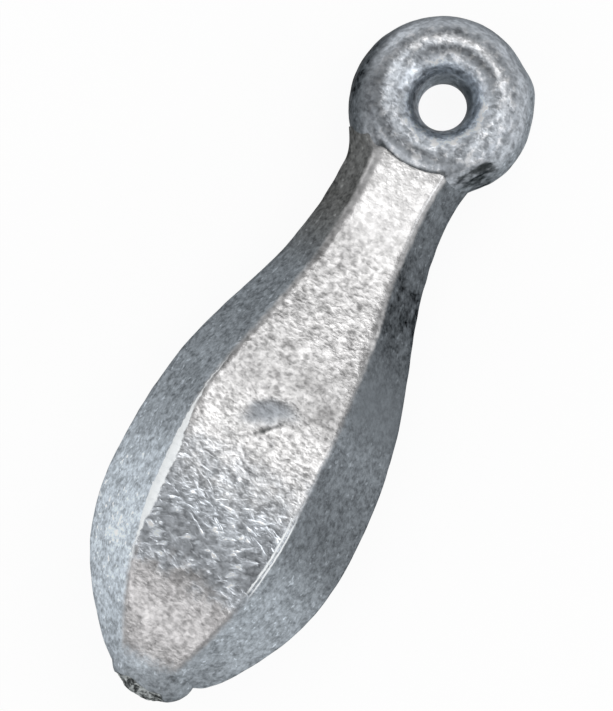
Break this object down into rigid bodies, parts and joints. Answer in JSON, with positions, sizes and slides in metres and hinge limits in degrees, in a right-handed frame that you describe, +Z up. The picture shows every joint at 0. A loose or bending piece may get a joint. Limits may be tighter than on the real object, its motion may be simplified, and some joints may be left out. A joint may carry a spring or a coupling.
{
  "type": "fishing sinker",
  "caption": "Cast lead bank sinker: faceted teardrop weight that draws in to a neck and a thick ring eye, with the broken stub of the pouring gate on its nose.",
  "frame": {"origin": "on the surface the sinker lies on, under the centre of its bounding box", "axes": "+X along the sinker from the nose to the eye, +Z up as it lies at rest on a facet and the eye ring, parting line about level"},
  "size_m": [0.0794, 0.027, 0.0228],
  "materials": {
    "cast_lead": "as-cast lead, dull blue-grey with a crinkled bright skin and burnished ridges",
    "broken_lead": "lead snapped off rough, dull and grainy"
  },
  "bodies": {
    "root": {"weight_body": "cast_lead", "eye_ring": "cast_lead", "gate_stub": "broken_lead"}
  },
  "joints": []
}
